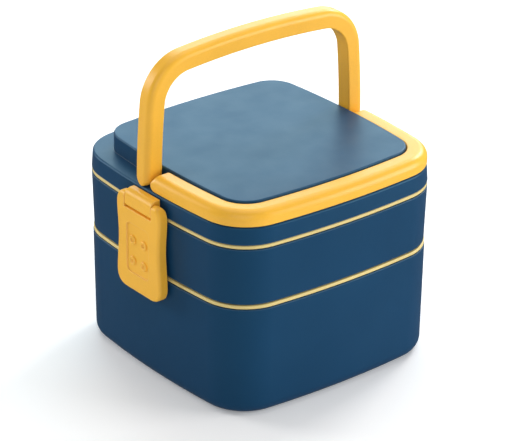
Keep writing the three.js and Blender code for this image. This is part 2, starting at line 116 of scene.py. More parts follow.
LATCH_PIN = joint_place("latch_right_open")
LATCH_PIN_RADIUS = 1.2 * MM
LATCH_PIN_HALF_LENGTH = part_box("latch_pin_right")[1].y
LATCH_FACE = LATCH_HIGH.x - LATCH_PIN.x
LATCH_BACK = LATCH_PIN.x - LATCH_LOW.x
LATCH_END = LATCH_LOW.z - LATCH_PIN.z
LATCH_EDGE = 2 * MM  # rounding round the latch's face
BRACKET_HALF_WIDTH = BRACKET_HIGH.y
TONGUE_HALF_WIDTH = 8 * MM
TONGUE_LOW = -2.6 * MM  # from the latch pin's axis
TONGUE_HIGH = 1.4 * MM


# ---- The box's outline: four bowed sides joined by round corners ----

SIDE_RADIUS = (HALF_WIDTH**2 + SIDE_BULGE**2) / (2 * SIDE_BULGE)
SIDE_CENTRE = HALF_WIDTH - SIDE_RADIUS
CORNER_REACH = SIDE_RADIUS - CORNER_RADIUS
CORNER_CENTRE = (SIDE_CENTRE + math.sqrt(2 * CORNER_REACH**2 - SIDE_CENTRE**2)) / 2
SIDE_SWING = math.atan2(CORNER_CENTRE, CORNER_CENTRE - SIDE_CENTRE)
DEEPEST_OFFSET = CORNER_RADIUS - 4 * MM  # past this inset the outline only shrinks
SIDE_STEPS = 20
CORNER_STEPS = 26


def direction(heading):
    return Vector((math.cos(heading), math.sin(heading)))


def outline_headings():
    """The directions that the outline's points face, once round the box from its +X side."""
    headings = []
    corner_swing = QUARTER_TURN - 2 * SIDE_SWING
    for quarter in range(4):
        middle = quarter * QUARTER_TURN
        for i in range(SIDE_STEPS):
            headings.append(middle - SIDE_SWING + 2 * SIDE_SWING * i / SIDE_STEPS)
        for i in range(CORNER_STEPS):
            headings.append(middle + SIDE_SWING + corner_swing * i / CORNER_STEPS)
    return headings


def outline_point(heading, inset):
    """The point of the outline that faces heading, moved in from the widest rim by inset."""
    middle = round(heading / QUARTER_TURN) * QUARTER_TURN
    offset = min(inset, DEEPEST_OFFSET)
    if abs(heading - middle) <= SIDE_SWING:
        centre = direction(middle) * SIDE_CENTRE
        radius = SIDE_RADIUS
    else:
        diagonal = (math.floor(heading / QUARTER_TURN) + 0.5) * QUARTER_TURN
        centre = direction(diagonal) * CORNER_CENTRE * math.sqrt(2)
        radius = CORNER_RADIUS
    point = centre + direction(heading) * (radius - offset)
    return point * (HALF_WIDTH - inset) / (HALF_WIDTH - offset)


def arc(inset, z, radius, start, end, steps=6):
    """Points of a profile along an arc, its angles in degrees with 0 pointing outward."""
    points = []
    for i in range(steps + 1):
        angle = math.radians(start + (end - start) * i / steps)
        points.append((inset - radius * math.cos(angle), z + radius * math.sin(angle)))
    return points


def quarter_circle(across, up, radius, start, steps=8):
    """A quarter circle of points about a centre, anticlockwise from an angle in degrees."""
    points = []
    for i in range(steps + 1):
        angle = math.radians(start + 90 * i / steps)
        points.append((across + radius * math.cos(angle), up + radius * math.sin(angle)))
    return points


# ---- Mesh tools ----

def new_piece(name, vertices, faces):
    mesh = bpy.data.meshes.new(name)
    mesh.from_pydata(vertices, [], faces)
    shell = bmesh.new()
    shell.from_mesh(mesh)
    bmesh.ops.recalc_face_normals(shell, faces=shell.faces)
    shell.to_mesh(mesh)
    shell.free()
    piece = bpy.data.objects.new(name, mesh)
    bpy.context.scene.collection.objects.link(piece)
    return piece


def lofted(name, loops, closed=False):
    """A skin over loops of points: capped at both ends, or closed on itself as a ring."""
    count = len(loops[0])
    vertices = [point for loop in loops for point in loop]
    faces = []
    for i in range(len(loops) if closed else len(loops) - 1):
        near = i * count
        far = (i + 1) % len(loops) * count
        for j in range(count):
            k = (j + 1) % count
            faces.append((near + j, near + k, far + k, far + j))
    if not closed:
        faces.append(tuple(range(count)))
        faces.append(tuple(range(len(vertices) - count, len(vertices))))
    return new_piece(name, vertices, faces)


def swept(name, profile, closed=False):
    """Sweeps a profile of (inset, z) points round the box's outline."""
    headings = outline_headings()
    loops = []
    for inset, z in profile:
        loops.append([(*outline_point(heading, inset), z) for heading in headings])
    return lofted(name, loops, closed)


def turned(name, profile, place, steps=48):
    """A solid of (radius, height) points turned about the Z axis, then moved by a matrix."""
    loops = []
    for radius, height in profile:
        ring = [direction(math.tau * i / steps) * radius for i in range(steps)]
        loops.append([place @ Vector((*point, height)) for point in ring])
    return lofted(name, loops)


def bar(name, radius, start, end):
    """A round bar between two points, for pegs and for drilling."""
    along = Vector(end) - Vector(start)
    place = Matrix.Translation(start) @ along.to_track_quat("Z", "Y").to_matrix().to_4x4()
    return turned(name, [(radius, 0), (radius, along.length)], place, steps=32)


def slab_along_x(name, shape, low, high):
    """A slab of an outline of (y, z) points, from one x to another."""
    return lofted(name, [[(x, y, z) for y, z in shape] for x in (low, high)])


def slab_along_y(name, shape, half_width):
    """A slab of an outline of (x, z) points, evenly about y = 0."""
    return lofted(name, [[(x, y, z) for x, z in shape] for y in (-half_width, half_width)])


def block(name, low, high):
    """A cutting block between two corners."""
    shape = [(low[1], low[2]), (high[1], low[2]), (high[1], high[2]), (low[1], high[2])]
    return slab_along_x(name, shape, low[0], high[0])


def combined(piece, tool, operation="DIFFERENCE"):
    """Cuts piece with tool, adds tool to it, or keeps what both share; the tool is used up."""
    step = piece.modifiers.new("combine", "BOOLEAN")
    step.object = tool
    step.operation = operation
    step.solver = "EXACT"
    graph = bpy.context.evaluated_depsgraph_get()
    mesh = bpy.data.meshes.new_from_object(piece.evaluated_get(graph))
    piece.modifiers.remove(step)
    piece.data = mesh
    bpy.data.objects.remove(tool)
    return piece


def finished(piece, body, slot, *nodes, edge=0.0):
    """Gives a piece its slot's material, shades it, softens its sharp edges by edge, hides the
    imported nodes it stands for and hangs it from its body.
    """
    smooth_up_to = math.radians(32)
    piece.data.materials.append(MATERIALS[slot])
    piece.data.shade_smooth()
    if edge:
        soften = piece.modifiers.new("soften", "BEVEL")
        soften.width = edge
        soften.segments = 3
        soften.limit_method = "ANGLE"
        soften.angle_limit = smooth_up_to
        soften.use_clamp_overlap = False
    else:
        piece.data.set_sharp_from_angle(angle=smooth_up_to)
    even = piece.modifiers.new("even", "WEIGHTED_NORMAL")
    even.keep_sharp = True
    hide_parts(*nodes)
    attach(piece, body)
    return piece


# ---- Materials ----

class Nodes:
    """Short names for building one material's nodes."""

    def __init__(self, name):
        self.material = bpy.data.materials.new(name)
        self.material.use_nodes = True
        self.tree = self.material.node_tree
        self.shader = self.tree.nodes["Principled BSDF"]
        self.place = self.add("ShaderNodeTexCoord").outputs["Object"]

    def add(self, kind, **settings):
        node = self.tree.nodes.new(kind)
        for name, value in settings.items():
            setattr(node, name, value)
        return node

    def link(self, source, target):
        self.tree.links.new(source, target)

    def noise(self, feature, detail=2.0):
        """Smooth noise from 0 to 1, its features about this many metres across."""
        node = self.add("ShaderNodeTexNoise")
        node.inputs["Scale"].default_value = 1 / feature
        node.inputs["Detail"].default_value = detail
        self.link(self.place, node.inputs["Vector"])
        return node.outputs["Fac"]

    def spread(self, value, low, high, new_low, new_high):
        """Maps a range of values onto another, clamped."""
        node = self.add("ShaderNodeMapRange")
        node.inputs["From Min"].default_value = low
        node.inputs["From Max"].default_value = high
        node.inputs["To Min"].default_value = new_low
        node.inputs["To Max"].default_value = new_high
        self.link(value, node.inputs["Value"])
        return node.outputs["Result"]

    def difference(self, first, second):
        node = self.add("ShaderNodeMath", operation="SUBTRACT")
        self.link(first, node.inputs[0])
        self.link(second, node.inputs[1])
        return node.outputs["Value"]

    def blend(self, share, first, second):
        """A colour between two, each a colour or another node's output."""
        node = self.add("ShaderNodeMix", data_type="RGBA")
        self.link(share, node.inputs["Factor"])
        for colour, socket in ((first, node.inputs["A"]), (second, node.inputs["B"])):
            if isinstance(colour, tuple):
                socket.default_value = (*colour, 1)
            else:
                self.link(colour, socket)
        return node.outputs["Result"]

    def bump(self, height, depth, under=None):
        """A bump of this depth in metres, over another one."""
        node = self.add("ShaderNodeBump")
        node.inputs["Distance"].default_value = depth
        self.link(height, node.inputs["Height"])
        if under:
            self.link(under, node.inputs["Normal"])
        return node.outputs["Normal"]

    def edges(self, width):
        """1 on edges and corners, fading to 0 about this many metres away from them."""
        rounded = self.add("ShaderNodeBevel", samples=4)
        rounded.inputs["Radius"].default_value = width
        flat = self.add("ShaderNodeNewGeometry").outputs["Normal"]
        likeness = self.add("ShaderNodeVectorMath", operation="DOT_PRODUCT")
        self.link(rounded.outputs["Normal"], likeness.inputs[0])
        self.link(flat, likeness.inputs[1])
        return self.spread(likeness.outputs["Value"], 1.0, 0.9, 0.0, 1.0)


NOISE_LOW = 0.3  # nearly all of a noise's values lie between these
NOISE_HIGH = 0.7
# Painted highlight: the white that every edge and corner of the plastic is lightened towards.
EDGE_HIGHLIGHT_WHITE = (0.9, 0.9, 0.9)
PLASTIC_IOR = 1.49


def scaled(colour, share):
    return tuple(channel * share for channel in colour)


def moulded_plastic(name, colour, roughness, gloss=0.5, gloss_tint=(1, 1, 1)):
    """Satin injection-moulded plastic: faint flow clouds, fine tool grain, and polished edges
    lightened by a painted highlight.
    """
    nodes = Nodes(name)
    clouds = nodes.noise(45 * MM, detail=3)
    specks = nodes.noise(0.9 * MM)
    smudges = nodes.noise(14 * MM, detail=4)
    highlit_polished_edges = nodes.edges(0.7 * MM)

    cloud_share = nodes.spread(clouds, NOISE_LOW, NOISE_HIGH, 0, 1)
    speck_share = nodes.spread(specks, NOISE_LOW, NOISE_HIGH, 0, 0.3)
    # Painted highlight: edges and corners lightened towards white, whatever the lamps; the same mask
    # also lowers the roughness there.
    edge_highlight_share = nodes.spread(highlit_polished_edges, 0, 1, 0, 0.16)
    cloudy = nodes.blend(cloud_share, scaled(colour, 0.95), scaled(colour, 1.05))
    specked = nodes.blend(speck_share, cloudy, scaled(colour, 1.12))
    edge_highlit = nodes.blend(edge_highlight_share, specked, EDGE_HIGHLIGHT_WHITE)
    nodes.link(edge_highlit, nodes.shader.inputs["Base Color"])

    uneven = nodes.spread(smudges, NOISE_LOW, NOISE_HIGH, roughness - 0.03, roughness + 0.04)
    polish = nodes.spread(highlit_polished_edges, 0, 1, 0, 0.08)
    nodes.link(nodes.difference(uneven, polish), nodes.shader.inputs["Roughness"])

    warp = nodes.bump(nodes.noise(22 * MM), 0.05 * MM)
    grain = nodes.bump(nodes.noise(0.45 * MM, detail=3), 0.012 * MM, warp)
    nodes.link(grain, nodes.shader.inputs["Normal"])
    nodes.shader.inputs["IOR"].default_value = PLASTIC_IOR
    nodes.shader.inputs["Specular IOR Level"].default_value = gloss
    nodes.shader.inputs["Specular Tint"].default_value = (*gloss_tint, 1)
    return nodes.material


def navy_plastic():
    navy = (0.0075, 0.048, 0.12)
    return moulded_plastic("navy_plastic", navy, 0.42, gloss=0.4, gloss_tint=(0.3, 0.8, 1))


def yellow_plastic():
    return moulded_plastic("yellow_plastic", (0.94, 0.495, 0.045), 0.34, gloss=0.4)


def seal_lid_plastic():
    return moulded_plastic("seal_lid_plastic", (0.76, 0.59, 0.22), 0.42)


def silicone():
    """Soft matt silicone rubber with a faint dusting."""
    nodes = Nodes("silicone")
    dust = nodes.noise(3 * MM, detail=5)
    colour = (0.74, 0.72, 0.66)
    dusted = nodes.blend(nodes.spread(dust, 0.4, 0.7, 0, 1), colour, scaled(colour, 1.12))
    nodes.link(dusted, nodes.shader.inputs["Base Color"])
    uneven = nodes.spread(dust, NOISE_LOW, NOISE_HIGH, 0.55, 0.72)
    nodes.link(uneven, nodes.shader.inputs["Roughness"])
    nodes.link(nodes.bump(nodes.noise(0.4 * MM), 0.01 * MM), nodes.shader.inputs["Normal"])
    nodes.shader.inputs["Subsurface Weight"].default_value = 0.1
    nodes.shader.inputs["Subsurface Scale"].default_value = 1 * MM
    return nodes.material


def pin_steel():
    """Drawn steel wire, with fine scratches and a little tarnish."""
    nodes = Nodes("pin_steel")
    tarnish = nodes.noise(2 * MM, detail=4)
    steel = (0.56, 0.57, 0.58)
    stained = nodes.blend(nodes.spread(tarnish, 0.35, 0.7, 0, 1), steel, scaled(steel, 0.7))
    nodes.link(stained, nodes.shader.inputs["Base Color"])
    uneven = nodes.spread(tarnish, NOISE_LOW, NOISE_HIGH, 0.22, 0.38)
    nodes.link(uneven, nodes.shader.inputs["Roughness"])
    nodes.link(nodes.bump(nodes.noise(0.15 * MM), 0.004 * MM), nodes.shader.inputs["Normal"])
    nodes.shader.inputs["Metallic"].default_value = 1.0
    return nodes.material


def floor_paper():
    """Plain white studio paper that glows a little, to keep the background white."""
    nodes = Nodes("floor_paper")
    fibres = nodes.noise(1.5 * MM, detail=4)
    white = (0.95, 0.95, 0.95)
    nodes.link(nodes.blend(fibres, scaled(white, 0.99), white), nodes.shader.inputs["Base Color"])
    nodes.link(nodes.spread(fibres, 0, 1, 0.85, 0.95), nodes.shader.inputs["Roughness"])
    nodes.shader.inputs["Specular IOR Level"].default_value = 0.1
    nodes.shader.inputs["Emission Color"].default_value = (*white, 1)
    nodes.shader.inputs["Emission Strength"].default_value = 0.15
    return nodes.material


MATERIALS = {make.__name__: make() for make in (
    navy_plastic, yellow_plastic, seal_lid_plastic, silicone, pin_steel)}


# ---- Containers ----

RIDGE_RISE = 4.9 * MM  # from the latch's lower end to the ridge's underside
RIDGE_TIP_HEIGHT = 0.8 * MM
RIDGE_ROOT_HEIGHT = 3.4 * MM
RIDGE_ROOT_DEPTH = 0.5 * MM  # how far it starts inside the container's wall
RIDGE_HALF_LENGTH = 11 * MM


def rim(inset, z):
    """The rounded top of a container's wall, from its outer face to its inner one."""
    outer = arc(inset + SOFT_EDGE, z - SOFT_EDGE, SOFT_EDGE, 0, 90, 4)
    inner = arc(inset + WALL - SOFT_EDGE, z - SOFT_EDGE, SOFT_EDGE, 90, 180, 4)
    return outer + inner


def inner_corner(wall_inset, floor_z):
    """The rounding between a container's inner wall and its floor."""
    return arc(wall_inset + INNER_RADIUS, floor_z + INNER_RADIUS, INNER_RADIUS, 0, -90, 8)


def catch_ridge(side):
    """The ridge that a latch's lip hooks under, flat below and sloped above."""
    tip = LATCH_LOW.x - FIT_GAP
    root = HALF_WIDTH - LOWER_BASE_INSET - RIDGE_ROOT_DEPTH
    underside = LATCH_LOW.z + RIDGE_RISE
    shape = [
        (side * root, underside),
        (side * tip, underside),
        (side * tip, underside + RIDGE_TIP_HEIGHT),
        (side * root, underside + RIDGE_ROOT_HEIGHT),
    ]
    return slab_along_y("ridge", shape, RIDGE_HALF_LENGTH)


def make_lower_container():
    radius = LOWER_BASE_RADIUS
    profile = [
        *arc(LOWER_BASE_INSET + radius, radius, radius, -90, 0, 12),
        *rim(LOWER_RIM_INSET, LOWER_RIM_Z),
        *inner_corner(LOWER_BASE_INSET + WALL, WALL),
    ]
    bowl = swept("lower_container_shell", profile)
    for side in (-1, 1):
        combined(bowl, catch_ridge(side), "UNION")
    finished(bowl, "lower_container", "navy_plastic", "lower_container")


def make_upper_container():
    base_edge = 1 * MM
    foot_low = UPPER_LOW.z
    profile = [
        (FOOT_INSET + FOOT_WIDTH, UPPER_BASE_Z),
        *arc(FOOT_INSET + FOOT_WIDTH - SOFT_EDGE, foot_low + SOFT_EDGE, SOFT_EDGE, 180, 270, 3),
        *arc(FOOT_INSET + SOFT_EDGE, foot_low + SOFT_EDGE, SOFT_EDGE, -90, 0, 3),
        (FOOT_INSET, UPPER_BASE_Z),
        *arc(UPPER_BASE_INSET + base_edge, UPPER_BASE_Z + base_edge, base_edge, -90, 0, 5),
        *rim(0, UPPER_RIM_Z),
        *inner_corner(UPPER_BASE_INSET + WALL, UPPER_FLOOR_Z),
    ]
    bowl = swept("upper_container_shell", profile)
    finished(bowl, "upper_container", "navy_plastic", "upper_container")


def make_divider():
    """A loose partition that stands on its own foot across the upper container."""
    low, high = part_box("upper_divider")
    middle_x = (low.x + high.x) / 2
    half_thickness = 0.8 * MM
    foot_height = 1.4 * MM
    radius = INNER_RADIUS
    shape = [
        *quarter_circle(high.y - radius, low.z + radius, radius, -90),
        (high.y, high.z),
        (-high.y, high.z),
        *quarter_circle(radius - high.y, low.z + radius, radius, 180),
    ]
    panel = slab_along_x("divider", shape, middle_x - half_thickness, middle_x + half_thickness)
    foot_half = high.y - 1.5 * radius
    foot = block("foot", (low.x, -foot_half, low.z), (high.x, foot_half, low.z + foot_height))
    combined(panel, foot, "UNION")
    finished(panel, "upper_divider", "navy_plastic", "upper_divider", edge=0.3 * MM)


# ---- Seal lids ----

PLUG_INSET = 0.6 * MM  # from a container's inner wall to its seal lid's plug
GROOVE_DEPTH = 1.5 * MM
GROOVE_LOW = -3.8 * MM  # from the container's rim
GROOVE_HIGH = -0.8 * MM
PANEL_TOP = -3 * MM
PANEL = 2 * MM
VENT_LOW, VENT_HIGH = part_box("upper_vent_plug")
VENT_Y = (VENT_LOW.y + VENT_HIGH.y) / 2
VENT_RADIUS = 3.2 * MM


def make_seal_lid(tier, rim_z, rim_inset):
    """An airtight inner lid: its edge is the yellow line that shows between two tiers."""
    edge = rim_inset + 0.2 * MM
    bead = 0.8 * MM
    plug = rim_inset + WALL + PLUG_INSET
    low = rim_z + FIT_GAP
    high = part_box(f"{tier}_seal_lid")[1].z
    panel_top = rim_z + PANEL_TOP
    rail_width = 2.9 * MM  # of the raised rail over the gasket
    recess = plug + rail_width
    fillet = 2 * MM
    profile = [
        (plug + SOFT_EDGE, panel_top - PANEL),
        (plug, panel_top - PANEL + SOFT_EDGE),
        (plug, rim_z + GROOVE_LOW),
        (plug + GROOVE_DEPTH, rim_z + GROOVE_LOW),
        (plug + GROOVE_DEPTH, rim_z + GROOVE_HIGH),
        (plug, rim_z + GROOVE_HIGH),
        (plug, low),
        *arc(edge + bead, low + bead, bead, -90, 0, 6),
        *arc(edge + bead, high - bead, bead, 0, 90, 6),
        *arc(recess - SOFT_EDGE, high - SOFT_EDGE, SOFT_EDGE, 90, 180, 4),
        *arc(recess + fillet, panel_top + fillet, fillet, 0, -90, 5),
    ]
    lid = swept(f"{tier}_seal_lid_shell", profile)
    vent_depth = 9 * MM  # right through the panel
    vent_low = (0, VENT_Y, low - vent_depth)
    combined(lid, bar("vent", VENT_RADIUS, vent_low, (0, VENT_Y, high)))
    finished(lid, f"{tier}_seal_lid", "seal_lid_plastic", f"{tier}_seal_lid")


def make_gasket(tier, rim_inset):
    """A silicone ring with two soft lips towards the container's wall."""
    low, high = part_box(f"{tier}_seal_gasket")
    outer = HALF_WIDTH - high.y
    inner = rim_inset + WALL + PLUG_INSET + GROOVE_DEPTH - FIT_GAP
    lip = (high.z - low.z) / 4
    profile = [
        (inner, low.z),
        *arc(outer + lip, low.z + lip, lip, -90, 60, 6),
        *arc(outer + lip, high.z - lip, lip, -60, 90, 6),
        (inner, high.z),
    ]
    ring = swept(f"{tier}_gasket_ring", profile, closed=True)
    finished(ring, f"{tier}_seal_lid", "silicone", f"{tier}_seal_gasket")


def make_vent_plug(tier):
    """A soft plug: a stem in the seal lid's hole under a flat head with a finger rim."""
    low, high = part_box(f"{tier}_vent_plug")
    head = (high.x - low.x) / 2
    head_thickness = 1.3 * MM
    head_low = high.z - head_thickness
    stem = VENT_RADIUS - FIT_GAP
    chamfer = 0.6 * MM
    rim_width = 1 * MM
    profile = [
        (stem - chamfer, low.z),
        (stem, low.z + chamfer),
        (stem, head_low),
        (head - SOFT_EDGE, head_low),
        (head, head_low + SOFT_EDGE),
        (head, high.z - SOFT_EDGE),
        (head - SOFT_EDGE, high.z),
        (head - rim_width, high.z),
        (head - 1.5 * rim_width, high.z - SOFT_EDGE),
    ]
    plug = turned(f"{tier}_vent_stopper", profile, Matrix.Translation((0, VENT_Y, 0)))
    finished(plug, f"{tier}_vent_plug", "silicone", f"{tier}_vent_plug", edge=0.15 * MM)


# ---- Lid ----

def trim_pegs():
    """The four pegs under the trim, as places on its mid-line."""
    middle = HALF_WIDTH - RING_INSET - TRIM_WIDTH / 2
    return [
        (-middle, PEG_SIDE_Y),
        (-PEG_FRONT_X, -middle),
        (PEG_FRONT_X, -middle),
        (middle, PEG_SIDE_Y),
    ]


def lid_profile():
    """The lid's section, from under its raised middle, round its side wall and up over the ledge."""
    under = PLATEAU_INSET + WALL
    edge = SOFT_EDGE
    ledge = LEDGE_RADIUS
    plateau = PLATEAU_RADIUS
    return [
        (under, LID_TOP_Z - WALL),
        (under, LEDGE_Z - WALL),
        (LEDGE_EDGE_INSET + WALL, LEDGE_Z - WALL),
        *arc(WALL - edge, LID_LOW_Z + edge, edge, 180, 270, 3),
        *arc(edge, LID_LOW_Z + edge, edge, -90, 0, 3),
        *arc(LEDGE_EDGE_INSET + ledge, LEDGE_Z - ledge, ledge, 0, 90, 8),
        (PLATEAU_INSET, LEDGE_Z),
        *arc(PLATEAU_INSET + plateau, LID_TOP_Z - plateau, plateau, 0, 90, 8),
    ]


def handle_pin_hole(name, reach):
    """A round cutter along the handle's pivot line, out to reach on both sides."""
    pin_line = (HANDLE_PIVOT.y, HANDLE_PIVOT.z)
    return bar(name, HANDLE_PIN_RADIUS + FIT_GAP, (-reach, *pin_line), (reach, *pin_line))


def make_lid_shell():
    """The lid's cover, with holes for the trim's pegs, the handle's pins and the brackets."""
    shell = swept("lid_cover", lid_profile())
    for x, y in trim_pegs():
        hole = bar("peg_hole", PEG_RADIUS + FIT_GAP, (x, y, LID_LOW_Z), (x, y, LID_TOP_Z))
        combined(shell, hole)
    reach = HALF_WIDTH + 1 * MM
    combined(shell, handle_pin_hole("pin_hole", reach))
    slot_half = TONGUE_HALF_WIDTH + FIT_GAP
    slot_low = LATCH_PIN.z + TONGUE_LOW - FIT_GAP
    slot_high = LATCH_PIN.z + TONGUE_HIGH + FIT_GAP
    combined(shell, block("slot", (-reach, -slot_half, slot_low), (reach, slot_half, slot_high)))
    finished(shell, "lid", "navy_plastic", "lid_shell")


def ring_section(width, low, high, crown):
    """The section that the trim and the handle share, its top outer edge rounded to the crown."""
    edge = 1 * MM
    outer = RING_INSET
    inner = RING_INSET + width
    return [
        *arc(outer + edge, low + edge, edge, -90, 0, 5),
        *arc(outer + crown, high - crown, crown, 0, 90, 14),
        *arc(inner - edge, high - edge, edge, 90, 180, 5),
        *arc(inner - edge, low + edge, edge, 180, 270, 5),
    ]


def half_ring_stations(end_y, radius):
    """(heading, how far the section is cut down) from one end, round the box's back, to the other.

    The ends reach to end_y, and their long edges are rounded by radius. The rounding stops a little
    short of a quarter turn, so that each end keeps a narrow flat face.
    """
    end_steps = 14
    blunt_swing = math.radians(87)
    ends = []
    for i in range(end_steps + 1):
        swing = blunt_swing * (1 - i / end_steps)
        y = end_y + radius - radius * math.sin(swing)
        ends.append((math.asin(y / SIDE_RADIUS), radius - radius * math.cos(swing)))
    first = ends[-1][0]
    last = math.pi - first
    between = [(heading, 0) for heading in outline_headings() if first < heading < last]
    mirrored = [(math.pi - heading, cut) for heading, cut in reversed(ends)]
    return [*ends, *between, *mirrored]


def half_ring(name, section, end_y, radius):
    """Sweeps a section round the back half of the box, its height easing off at round ends."""
    heights = [z for _, z in section]
    middle_z = (min(heights) + max(heights)) / 2
    half_height = (max(heights) - min(heights)) / 2
    loops = []
    for heading, cut in half_ring_stations(end_y, radius):
        share = 1 - cut / half_height
        loop = []
        for inset, z in section:
            loop.append(Vector((*outline_point(heading, inset), middle_z + share * (z - middle_z))))
        loops.append(loop)
    return lofted(name, loops)


def make_front_trim():
    """Shaped round the box's back, then turned to its front."""
    section = ring_section(TRIM_WIDTH, TRIM_LOW_Z, TRIM_HIGH.z, TRIM_CROWN)
    trim = half_ring("trim_band", section, -TRIM_HIGH.y, TRIM_END_RADIUS)
    trim.data.transform(Matrix.Rotation(math.pi, 4, "Z"))
    for x, y in trim_pegs():
        peg = bar("peg", PEG_RADIUS, (x, y, TRIM_LOW.z), (x, y, TRIM_LOW_Z + 1 * MM))
        combined(trim, peg, "UNION")
    finished(trim, "lid", "yellow_plastic", "front_trim")


def make_handle():
    """Shaped folded back, then stood up about its pivot."""
    depth = HANDLE_HALF_DEPTH
    low = HANDLE_PIVOT.z - depth
    high = HANDLE_PIVOT.z + depth
    section = ring_section(HANDLE_WIDTH, low, high, HANDLE_CROWN)
    handle = half_ring("carry_handle", section, HANDLE_PIVOT.y - depth, depth)
    outer_skin = 4 * MM  # left between the blind bore and the leg's outer face
    combined(handle, handle_pin_hole("bore", HALF_WIDTH - RING_INSET - outer_skin))
    to_pivot = Matrix.Translation((0, HANDLE_PIVOT.y, HANDLE_PIVOT.z))
    handle.data.transform(to_pivot @ Matrix.Rotation(QUARTER_TURN, 4, "X") @ to_pivot.inverted())
    finished(handle, "handle", "yellow_plastic", "handle")


def make_handle_pin(name, side):
    """A pivot pin whose round head is inside the lid and whose tip is in the handle's leg."""
    low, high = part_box(name)
    near = low.x if side > 0 else -high.x
    far = high.x if side > 0 else -low.x
    head = (high.z - low.z) / 2
    head_thickness = 1.5 * MM
    chamfer = 0.3 * MM
    profile = [
        (head - chamfer, near),
        (head, near + chamfer),
        (head, near + head_thickness),
        (HANDLE_PIN_RADIUS, near + head_thickness),
        (HANDLE_PIN_RADIUS, far - chamfer),
        (HANDLE_PIN_RADIUS - chamfer, far),
    ]
    place = Matrix.Translation((0, HANDLE_PIVOT.y, HANDLE_PIVOT.z))
    pin = turned(f"{name}_rivet", profile, place @ Matrix.Rotation(side * QUARTER_TURN, 4, "Y"))
    finished(pin, "lid", "pin_steel", name)


# ---- Latches: shaped about their pin's axis, with +X pointing away from the box ----

def bezier(start, start_pull, end_pull, end, steps=10):
    """Points along a cubic curve, without its start."""
    points = []
    for i in range(1, steps + 1):
        t = i / steps
        s = 1 - t
        weights = (s**3, 3 * s * s * t, 3 * s * t * t, t**3)
        corners = (start, start_pull, end_pull, end)
        y = sum(weight * corner[0] for weight, corner in zip(weights, corners))
        z = sum(weight * corner[1] for weight, corner in zip(weights, corners))
        points.append((y, z))
    return points


def latch_outline():
    """The latch's face from the front, as (y, z) points: wide ears, a waist and a wide tail.

    Each stretch of its edge is one curve, and the pulls are how far its handles reach from its ends.
    """
    ear = LATCH_HIGH.y
    tail = ear + 0.1 * MM
    waist = ear - 1.3 * MM
    waist_z = -25 * MM
    ear_z = -5 * MM
    low = LATCH_END
    top = LATCH_BACK
    corner_size = 9 * MM
    side_pull = 9 * MM
    ear_pull = 8 * MM
    foot_pull = 6 * MM
    corner_pull = 5 * MM
    crest_pull = 4 * MM
    foot = (tail - corner_size, low)
    corner = (tail, low + corner_size)
    middle = (waist, waist_z)
    shoulder = (ear, ear_z)
    crest = (ear - 7 * MM, top)
    half = [
        foot,
        *bezier(foot, (foot[0] + foot_pull, low), (tail, corner[1] - corner_pull), corner),
        *bezier(corner, (tail, corner[1] + side_pull), (waist, waist_z - side_pull), middle),
        *bezier(middle, (waist, waist_z + side_pull), (ear, ear_z - ear_pull), shoulder),
        *bezier(shoulder, (ear, 0), (crest[0] + crest_pull, top), crest),
    ]
    return half + [(-y, z) for y, z in reversed(half)]


def moved_in(outline, inset):
    """A closed outline of (y, z) points, drawn anticlockwise, moved inward by inset."""
    moved = []
    for i, (y, z) in enumerate(outline):
        before = outline[i - 1]
        after = outline[(i + 1) % len(outline)]
        along = Vector((after[0] - before[0], after[1] - before[1])).normalized()
        moved.append((y - along.y * inset, z + along.x * inset))
    return moved


def latch_plate():
    """The latch's thick plate, its front edge rounded all round and its top round about the pin."""
    outline = latch_outline()
    edge_steps = 8
    loops = [[(-2 * LATCH_BACK, y, z) for y, z in outline]]
    for i in range(edge_steps + 1):
        angle = QUARTER_TURN * i / edge_steps
        x = LATCH_FACE - LATCH_EDGE * (1 - math.sin(angle))
        inset = LATCH_EDGE * (1 - math.cos(angle))
        loops.append([(x, y, z) for y, z in moved_in(outline, inset)])
    plate = lofted("latch", loops)

    proud = 0.05 * MM  # keeps the rounding's start clear of the plate's flat face
    low = LATCH_END - 1 * MM
    side = [(-LATCH_BACK, low), (LATCH_FACE + proud, low)]
    round_steps = 12
    for i in range(round_steps + 1):
        angle = QUARTER_TURN * i / round_steps
        side.append(((LATCH_FACE + proud) * math.cos(angle), LATCH_BACK * math.sin(angle)))
    for i in range(1, round_steps + 1):
        angle = QUARTER_TURN * (1 + i / round_steps)
        side.append((LATCH_BACK * math.cos(angle), LATCH_BACK * math.sin(angle)))
    return combined(plate, slab_along_y("side", side, HALF_WIDTH), "INTERSECT")


def rounded_panel(half_width, low, high, radius):
    """A round-cornered rectangle of (y, z) points."""
    corners = (
        (half_width - radius, low + radius, -90),
        (half_width - radius, high - radius, 0),
        (radius - half_width, high - radius, 90),
        (radius - half_width, low + radius, 180),
    )
    return [point for y, z, start in corners for point in quarter_circle(y, z, radius, start)]


GRIP_DEPTH = 0.8 * MM
GRIP_LOW = -45.5 * MM
GRIP_HIGH = -14.5 * MM
GRIP_HALF_WIDTH = 10.3 * MM
GRIP_RING_Y = 5.2 * MM
GRIP_RING_HEIGHTS = (-37.9 * MM, -24.8 * MM)
PANEL_CORNER = 3 * MM
HOLLOW_HALF_WIDTH = 14.6 * MM
HOLLOW_HIGH = -9.5 * MM
HOLLOW_RISE = 4.5 * MM  # from the latch's lower end
FRONT_SKIN = 1.8 * MM  # between the hollow behind and the pocket in front


